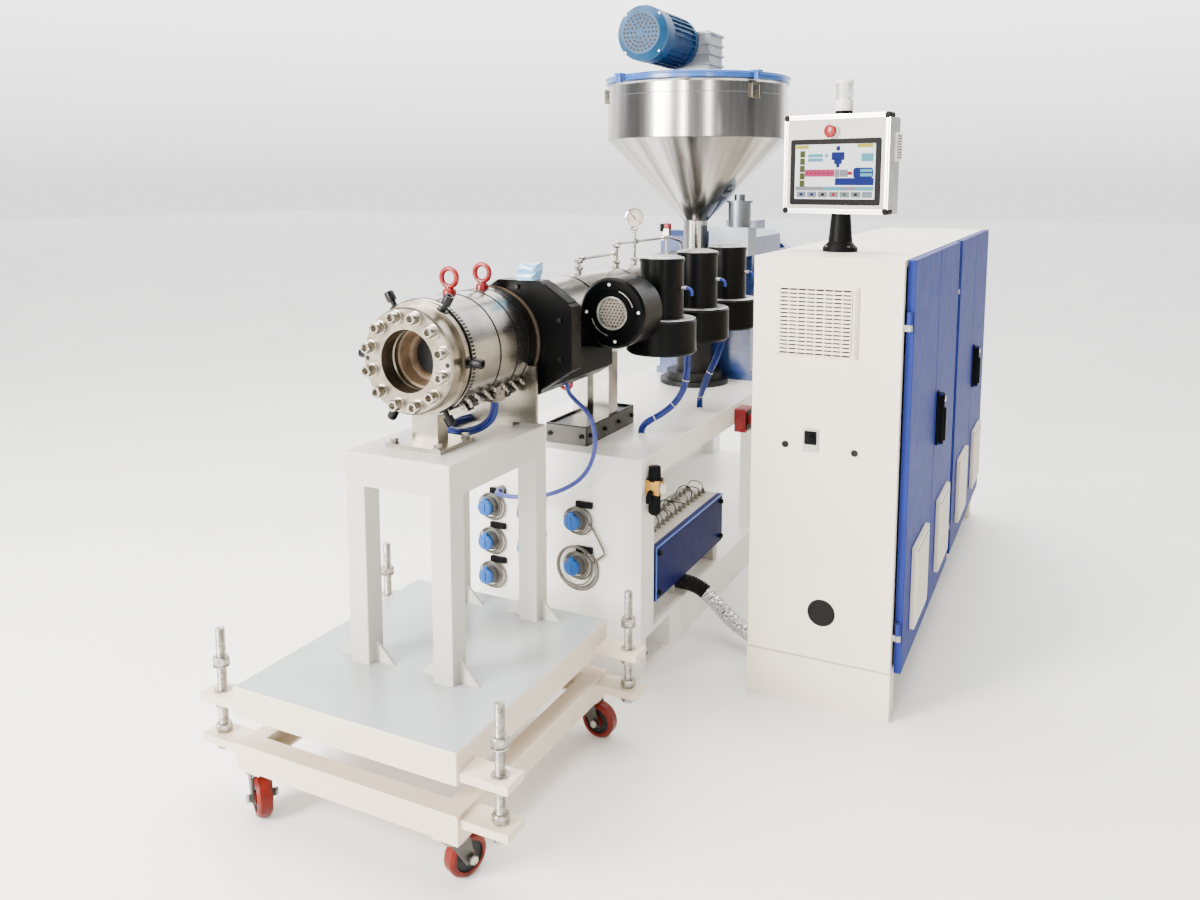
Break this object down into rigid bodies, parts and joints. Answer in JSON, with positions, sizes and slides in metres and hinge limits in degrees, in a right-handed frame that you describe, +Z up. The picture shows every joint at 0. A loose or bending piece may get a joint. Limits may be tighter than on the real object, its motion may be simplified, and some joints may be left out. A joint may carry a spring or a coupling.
{
  "type": "plastic extruder with die trolley and control cabinet",
  "caption": "Twin-screw plastic extruder: a heated barrel with a hopper on a steel base, a die head on a wheeled trolley, and a control cabinet with swing doors and an operator panel.",
  "frame": {"origin": "on the floor, at the centre of the four anchor holes in the machine base's sole", "axes": "+Y along the barrel from the die to the drive, +X from the barrel to the control cabinet, +Z up"},
  "size_m": [1.553, 3.3203, 2.2277],
  "materials": {
    "cream_paint": "satin powder coat",
    "cabinet_paint": "fine textured powder coat",
    "blue_paint": "fine textured powder coat",
    "black_paint": "matte powder coat",
    "machined_steel": "turned",
    "stainless": "polished",
    "zinc_steel": "galvanised",
    "dark_steel": "oiled",
    "red_paint": "gloss",
    "polyurethane": "moulded",
    "lid_blue": "gloss",
    "motor_blue": "gloss enamel",
    "gearbox_grey": "cast and painted",
    "drive_blue": "enamel",
    "socket_blue": "moulded",
    "box_grey": "satin",
    "cover_navy": "satin",
    "brass": "cast",
    "black_plastic": "moulded",
    "panel_grey": "anodised",
    "lamp_clear": "clear",
    "cable_blue": "sleeved",
    "foil_silver": "crinkled"
  },
  "bodies": {
    "machine": {"trolley_side_beams": "cream_paint", "trolley_end_beams": "cream_paint", "platform": "cream_paint", "jack_screws": "zinc_steel", "table_legs": "cream_paint", "table_top": "cream_paint", "die_supports": "machined_steel", "die_body": "machined_steel", "die_flange": "machined_steel", "heater_bands": "stainless", "eye_bolts": "red_paint", "front_hood": "black_paint", "barrel": "stainless", "barrel_column": "stainless", "slide_base": "dark_steel", "feed_block": "dark_steel", "blowers": "black_paint", "hopper_shell": "stainless", "hopper_lid": "lid_blue", "agitator_gearbox": "gearbox_grey", "agitator_motor": "motor_blue", "side_vent": "stainless", "main_gearbox": "drive_blue", "main_motor": "drive_blue", "base_sole": "cream_paint", "base_posts": "cream_paint", "base_rails": "cream_paint", "base_top_plate": "cream_paint", "base_panels": "cream_paint", "control_sockets": "socket_blue", "junction_box": "box_grey", "junction_cover": "cover_navy", "air_regulator": "brass", "stop_switch": "red_paint", "cabinet_uprights": "cabinet_paint", "cabinet_roof_and_floor": "cabinet_paint", "cabinet_left_panel": "cabinet_paint", "cabinet_feet": "cabinet_paint", "door_hinges": "zinc_steel", "panel_post": "black_plastic", "oil_pipes": "stainless", "foil_conduit": "foil_silver", "hood_lead": "cable_blue", "blower_lead_1": "cable_blue", "blower_lead_2": "cable_blue", "heater_lead": "cable_blue"},
    "operator_panel": {"panel_box": "panel_grey", "beacon": "lamp_clear"},
    "door_1": {"cabinet_door_1": "blue_paint"},
    "door_2": {"cabinet_door_2": "blue_paint"},
    "door_3": {"cabinet_door_3": "blue_paint"},
    "door_4": {"cabinet_door_4": "blue_paint"},
    "fork_front_right": {"caster_fork_front_right": "zinc_steel"},
    "wheel_front_right": {"caster_wheel_front_right": "polyurethane"},
    "fork_front_left": {"caster_fork_front_left": "zinc_steel"},
    "wheel_front_left": {"caster_wheel_front_left": "polyurethane"},
    "fork_rear_right": {"caster_fork_rear_right": "zinc_steel"},
    "wheel_rear_right": {"caster_wheel_rear_right": "polyurethane"},
    "fork_rear_left": {"caster_fork_rear_left": "zinc_steel"},
    "wheel_rear_left": {"caster_wheel_rear_left": "polyurethane"}
  },
  "joints": [
    {"name": "panel_swivel", "type": "hinge", "parent": "machine", "child": "operator_panel", "pos_m": [0.801, -0.739, 1.468], "axis": [0, 0, 1], "range_deg": [-120, 120]},
    {"name": "door_1_hinge", "type": "hinge", "parent": "machine", "child": "door_1", "pos_m": [1.0645, -1.021, 0.7], "axis": [0, 0, -1], "range_deg": [0, 90]},
    {"name": "door_2_hinge", "type": "hinge", "parent": "machine", "child": "door_2", "pos_m": [1.0645, -0.023, 0.7], "axis": [0, 0, 1], "range_deg": [0, 90]},
    {"name": "door_3_hinge", "type": "hinge", "parent": "machine", "child": "door_3", "pos_m": [1.0645, 0.033, 0.7], "axis": [0, 0, -1], "range_deg": [0, 90]},
    {"name": "door_4_hinge", "type": "hinge", "parent": "machine", "child": "door_4", "pos_m": [1.0645, 1.031, 0.7], "axis": [0, 0, 1], "range_deg": [0, 90]},
    {"name": "swivel_front_right", "type": "hinge", "parent": "machine", "child": "fork_front_right", "pos_m": [0.294, -2.139, 0.1], "axis": [0, 0, 1], "continuous": true},
    {"name": "roll_front_right", "type": "hinge", "parent": "fork_front_right", "child": "wheel_front_right", "pos_m": [0.30475, -2.11099, 0.05], "axis": [-0.9336, 0.3584, 0], "continuous": true},
    {"name": "swivel_front_left", "type": "hinge", "parent": "machine", "child": "fork_front_left", "pos_m": [-0.294, -2.139, 0.1], "axis": [0, 0, 1], "continuous": true},
    {"name": "roll_front_left", "type": "hinge", "parent": "fork_front_left", "child": "wheel_front_left", "pos_m": [-0.26913, -2.15578, 0.05], "axis": [0.5592, 0.829, 0], "continuous": true},
    {"name": "swivel_rear_right", "type": "hinge", "parent": "machine", "child": "fork_rear_right", "pos_m": [0.294, -1.461, 0.1], "axis": [0, 0, 1], "continuous": true},
    {"name": "roll_rear_right", "type": "hinge", "parent": "fork_rear_right", "child": "wheel_rear_right", "pos_m": [0.32396, -1.46257, 0.05], "axis": [0.0523, 0.9986, 0], "continuous": true},
    {"name": "swivel_rear_left", "type": "hinge", "parent": "machine", "child": "fork_rear_left", "pos_m": [-0.294, -1.461, 0.1], "axis": [0, 0, 1], "continuous": true},
    {"name": "roll_rear_left", "type": "hinge", "parent": "fork_rear_left", "child": "wheel_rear_left", "pos_m": [-0.26802, -1.476, 0.05], "axis": [0.5, 0.866, 0], "continuous": true}
  ]
}
